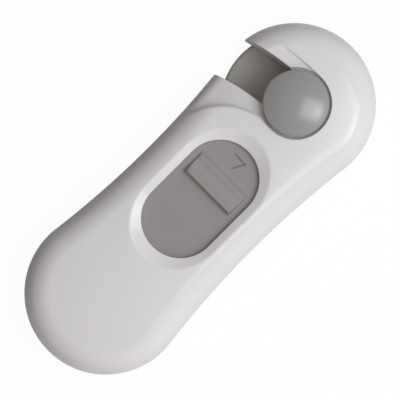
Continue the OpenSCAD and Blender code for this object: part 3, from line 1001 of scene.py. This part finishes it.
def plastic(name, colour, drift_colour, rub_colour, gloss, grain, bump, specular=0.5):
    """Moulded plastic: gloss is its range of roughness, bump the depth of its grain."""
    material, tree, shader = new_material(name)
    surface = place_group(tree, skin, Grain_Scale=grain)
    marks = place_group(tree, rubs)
    faint = spread(tree, marks.outputs["Rub"], 0, 1, 0, RUB_TINT)
    tone = mix_colour(tree, surface.outputs["Drift"], colour, drift_colour)
    tree.links.new(mix_colour(tree, faint, tone, rub_colour), shader.inputs["Base Color"])
    sheen = spread(tree, surface.outputs["Drift"], 0, 1, *gloss)
    dull = spread(tree, marks.outputs["Rub"], 0, 1, 0, RUB_DULL)
    tree.links.new(combine(tree, "ADD", sheen, dull), shader.inputs["Roughness"])
    raise_grain(tree, shader, surface.outputs["Grain"], bump)
    shader.inputs["Specular IOR Level"].default_value = specular
    return material


white_plastic = plastic(
    "white_shell_plastic",
    (0.743, 0.698, 0.708), (0.728, 0.683, 0.692), (0.76, 0.732, 0.735),
    gloss=(0.14, 0.18), grain=3200, bump=2e-6, specular=0.46,
)
slide_grey = plastic(
    "grey_slide_plastic",
    (0.281, 0.251, 0.247), (0.268, 0.239, 0.235), (0.313, 0.288, 0.283),
    gloss=(0.40, 0.48), grain=3800, bump=5e-6,
)
knob_grey = plastic(
    "grey_knob_plastic",
    (0.28, 0.26, 0.257), (0.267, 0.248, 0.245), (0.313, 0.296, 0.294),
    gloss=(0.19, 0.25), grain=3600, bump=3e-6, specular=0.75,
)
base_grey = plastic(
    "grey_base_plastic",
    (0.475, 0.445, 0.415), (0.458, 0.43, 0.4), (0.505, 0.48, 0.455),
    gloss=(0.42, 0.52), grain=3400, bump=6e-6,
)
ring_plastic = plastic(
    "glide_ring_plastic",
    (0.62, 0.615, 0.6), (0.58, 0.575, 0.56), (0.5, 0.5, 0.48),
    gloss=(0.32, 0.4), grain=2600, bump=4e-6,
)
print("plastics made")

# %% [markdown]
# ## Foam tape and steel
# The adhesive pads are closed-cell foam: matt, dark, and full of tiny cells,
# which a Voronoi texture gives.
# The screws, the washer and the spring are plated steel, with fine lines from turning or rolling.

# %% Foam and steel materials
foam, tree, shader = new_material("adhesive_foam")
place = object_coords(tree)
cells = tree.nodes.new("ShaderNodeTexVoronoi")
cells.inputs["Scale"].default_value = 2600
tree.links.new(place, cells.inputs["Vector"])
cell = spread(tree, cells.outputs["Distance"], 0.1, 0.7)
foam_colour = mix_colour(tree, cell, (0.035, 0.035, 0.036), (0.085, 0.085, 0.083))
foam_rough = spread(tree, noise(tree, place, 300.0, 3), 0.3, 0.7, 0.82, 0.95)
tree.links.new(foam_colour, shader.inputs["Base Color"])
tree.links.new(foam_rough, shader.inputs["Roughness"])
raise_grain(tree, shader, cells.outputs["Distance"], 6e-5)


def plated_steel(name, colour, dark, stretch, gloss):
    """Bright steel with fine lines across the stretched direction."""
    material, tree, shader = new_material(name)
    place = object_coords(tree)
    turn = tree.nodes.new("ShaderNodeMapping")
    turn.inputs["Scale"].default_value = stretch
    tree.links.new(place, turn.inputs["Vector"])
    lines = noise(tree, turn.outputs["Vector"], 1500.0, 3)
    tarnish = spread(tree, noise(tree, place, 220.0, 3), 0.35, 0.7)
    tree.links.new(mix_colour(tree, tarnish, colour, dark), shader.inputs["Base Color"])
    tree.links.new(spread(tree, lines, 0.3, 0.7, *gloss), shader.inputs["Roughness"])
    shader.inputs["Metallic"].default_value = 1.0
    raise_grain(tree, shader, lines, 4e-6)
    return material


screw_steel = plated_steel(
    "plated_screw_steel", (0.62, 0.62, 0.63), (0.5, 0.5, 0.5), (1, 1, 6), gloss=(0.26, 0.42)
)
leaf_steel = plated_steel(
    "rolled_spring_steel", (0.56, 0.57, 0.6), (0.46, 0.47, 0.5), (8, 1, 1), gloss=(0.2, 0.34)
)
print("foam and steel made")

# %% [markdown]
# ## CAD nodes that keep their shape
# The pieces that are right as CAD solids stay.
# Their meshes are loose triangles, so a Weld modifier joins them
# and a planar Decimate turns each flat into one face.
# A narrow Bevel then breaks the edges, and weighted normals keep the flats flat.
# The carved pieces get weighted normals too.

# %% Dress the CAD nodes
WELD_GAP = 0.01
FLAT_WITHIN = math.radians(0.3)
SHARP_FROM = math.radians(40)
CAD_FINISH = {
    "pivot_pad": (foam, 0.12), "catch_pad": (foam, 0.12),
    "pivot_base": (base_grey, 0.15), "catch_base": (base_grey, 0.15),
    "glide_ring": (ring_plastic, 0.05), "retaining_washer": (screw_steel, 0.1),
    "pivot_screw": (screw_steel, 0.08), "knob_screw": (screw_steel, 0.08),
    "shell_screws": (screw_steel, 0.028), "lock_screws": (screw_steel, 0.02),
    "detent_spring": (leaf_steel, 0.014), "lock_plate": (slide_grey, 0.03),
    "lower_shell": (white_plastic, 0.05),
}


def flat_normals(piece):
    """Large faces keep their own normal, so that only the small faces of an edge bend the light."""
    normals = piece.modifiers.new("flat_normals", "WEIGHTED_NORMAL")
    normals.keep_sharp = True


def dress(node, material, width):
    """Material, welded mesh, broken edges and clean normals for a CAD node."""
    node.data.materials.clear()
    node.data.materials.append(material)
    for polygon in node.data.polygons:
        polygon.use_smooth = True
    weld = node.modifiers.new("weld", "WELD")
    weld.merge_threshold = WELD_GAP * MM
    flats = node.modifiers.new("joined_flats", "DECIMATE")
    flats.decimate_type = "DISSOLVE"
    flats.angle_limit = FLAT_WITHIN
    bevel = node.modifiers.new("broken_edges", "BEVEL")
    bevel.width = width * MM
    bevel.segments = 2
    bevel.limit_method = "ANGLE"
    bevel.angle_limit = SHARP_FROM
    bevel.use_clamp_overlap = False
    flat_normals(node)


for name, (material, width) in CAD_FINISH.items():
    dress(nodes[name], material, width)
for piece, material in ((upper, white_plastic), (knob, knob_grey), (slide, slide_grey)):
    piece.data.materials.append(material)
    flat_normals(piece)
print("dressed", len(CAD_FINISH), "CAD nodes")

# %% [markdown]
# ## What each ray sees
# A Light Path node tells camera rays and mirrored rays from those that only carry light.
# With it, the floor and the room can look white and still light the lock from one side.

# %% Ray helpers
def seen_by(tree, *kinds):
    """A value that is 1 for rays of the named kinds and 0 for all others."""
    path = tree.nodes.new("ShaderNodeLightPath")
    share = path.outputs[kinds[0]]
    for kind in kinds[1:]:
        share = combine(tree, "MAXIMUM", share, path.outputs[kind])
    return share


def blend(tree, share, first, second):
    """Mixes two shaders by a number or a socket."""
    mix = tree.nodes.new("ShaderNodeMixShader")
    if isinstance(share, float):
        mix.inputs[0].default_value = share
    else:
        tree.links.new(share, mix.inputs[0])
    tree.links.new(first, mix.inputs[1])
    tree.links.new(second, mix.inputs[2])
    return mix.outputs["Shader"]


def matt(tree, level):
    """A matt shader whose grey is a number or a socket."""
    node = tree.nodes.new("ShaderNodeBsdfDiffuse")
    if isinstance(level, float):
        node.inputs["Color"].default_value = (level, level, level, 1)
    else:
        tree.links.new(level, node.inputs["Color"])
    return node.outputs["BSDF"]


print("ray helpers defined")

# %% [markdown]
# ## The floor
# The photograph is a cut-out on white, so the floor shows white to the camera.
# A little of it stays matt paper, which keeps the lock's own shadow.
# Mirror-like and see-through rays find white paper too.
# The light that the floor throws back at the lock's flanks is another matter:
# it is that of a dark card on the left and a bright card on the right.

# %% Floor
bm = bmesh.new()
bmesh.ops.create_grid(bm, x_segments=2, y_segments=2, size=6)
floor_mesh = bpy.data.meshes.new("floor")
bm.to_mesh(floor_mesh)
bm.free()
floor = bpy.data.objects.new("floor", floor_mesh)
floor.location.z = -0.05 * MM
bpy.context.scene.collection.objects.link(floor)

PAPER = 0.9
DARK_CARD = 0.04
BRIGHT_CARD = 0.6
CARD_EDGE = 0.03
MIRROR_GLOW = 0.05
PICTURE_GLOW = 0.96
floor_paint = bpy.data.materials.new("white_floor")
floor_paint.use_nodes = True
tree = floor_paint.node_tree
tree.nodes.clear()
glow = tree.nodes.new("ShaderNodeEmission").outputs["Emission"]
across = tree.nodes.new("ShaderNodeSeparateXYZ")
tree.links.new(object_coords(tree), across.inputs["Vector"])
cards = spread(tree, across.outputs["X"], -CARD_EDGE, CARD_EDGE, DARK_CARD, BRIGHT_CARD)
in_mirrors = blend(tree, MIRROR_GLOW, matt(tree, PAPER), glow)
in_picture = blend(tree, PICTURE_GLOW, matt(tree, PAPER), glow)
mirrored = seen_by(tree, "Is Glossy Ray", "Is Transmission Ray")
lighting = blend(tree, mirrored, matt(tree, cards), in_mirrors)
seen = blend(tree, seen_by(tree, "Is Camera Ray"), lighting, in_picture)
out = tree.nodes.new("ShaderNodeOutputMaterial")
tree.links.new(seen, out.inputs["Surface"])
floor_mesh.materials.append(floor_paint)
print("floor at", round(floor.location.z / MM, 2), "mm")

# %% [markdown]
# ## The room
# The room shows white to the camera and in mirrors, as the photograph's ground does.
# The light that it casts on the lock is dimmer and comes from one side:
# even overhead and to the right, and falling to nothing on the left, warm where it is dim.

# %% World
BRIGHT_SIDE = Vector((0.88, 0.36, 0.3))
DARK_FROM = -0.3
BRIGHT_FROM = 0.15
ROOM_LEVEL = 0.84
DIM_COLOUR = (1.0, 0.9, 0.72)
BRIGHT_COLOUR = (0.985, 0.977, 0.973)
world = bpy.data.worlds.new("studio")
bpy.context.scene.world = world
world.use_nodes = True
tree = world.node_tree
tree.nodes.clear()
room = tree.nodes.new("ShaderNodeBackground")
side = tree.nodes.new("ShaderNodeVectorMath")
side.operation = "DOT_PRODUCT"
side.inputs[1].default_value = BRIGHT_SIDE
tree.links.new(tree.nodes.new("ShaderNodeTexCoord").outputs["Generated"], side.inputs[0])
level = spread(tree, side.outputs["Value"], DARK_FROM, BRIGHT_FROM, 0, ROOM_LEVEL)
tree.links.new(level, room.inputs["Strength"])
tree.links.new(mix_colour(tree, level, DIM_COLOUR, BRIGHT_COLOUR), room.inputs["Color"])
white = tree.nodes.new("ShaderNodeBackground")
white.inputs["Color"].default_value = (1, 1, 1, 1)
show_white = seen_by(tree, "Is Camera Ray", "Is Glossy Ray", "Is Transmission Ray")
shown = blend(tree, show_white, room.outputs["Background"], white.outputs["Background"])
out = tree.nodes.new("ShaderNodeOutputWorld")
tree.links.new(shown, out.inputs["Surface"])
print("room level", ROOM_LEVEL)

# %% [markdown]
# ## The softboxes
# The long bright line on the right shoulder mirrors a rectangular softbox.
# The line lies where the surface tilts about 7 to 25 degrees,
# so the softbox stands twice as far off the vertical.
# The line fades towards the pivot, so the softbox is near, beside the hook.
# A second, small one a little lower gives the knob's highlight its brightest spot.

# %% Softboxes
HOOK = Vector((0, REACH, CROWN_Z)) * MM
LAMP_DISTANCE = 0.45
SHOULDER_WAY = Vector((0.465, 0.235, 0.853))
KNOB_WAY = Vector((0.61, 0.305, 0.731))


def softbox(name, toward, width, height, watts, colour):
    """A rectangular lamp that looks at the hook from the given side."""
    data = bpy.data.lights.new(name, "AREA")
    data.shape = "RECTANGLE"
    data.size = width
    data.size_y = height
    data.energy = watts
    data.color = colour
    lamp = bpy.data.objects.new(name, data)
    lamp.location = HOOK + toward.normalized() * LAMP_DISTANCE
    lamp.rotation_euler = (-toward).to_track_quat("-Z", "Y").to_euler()
    bpy.context.scene.collection.objects.link(lamp)


softbox("right_softbox", SHOULDER_WAY, 0.28, 0.30, watts=0.84, colour=(0.8, 0.92, 1.0))
softbox("knob_softbox", KNOB_WAY, 0.12, 0.12, watts=0.11, colour=(0.75, 0.9, 1.0))
bpy.context.scene.view_settings.view_transform = "Standard"
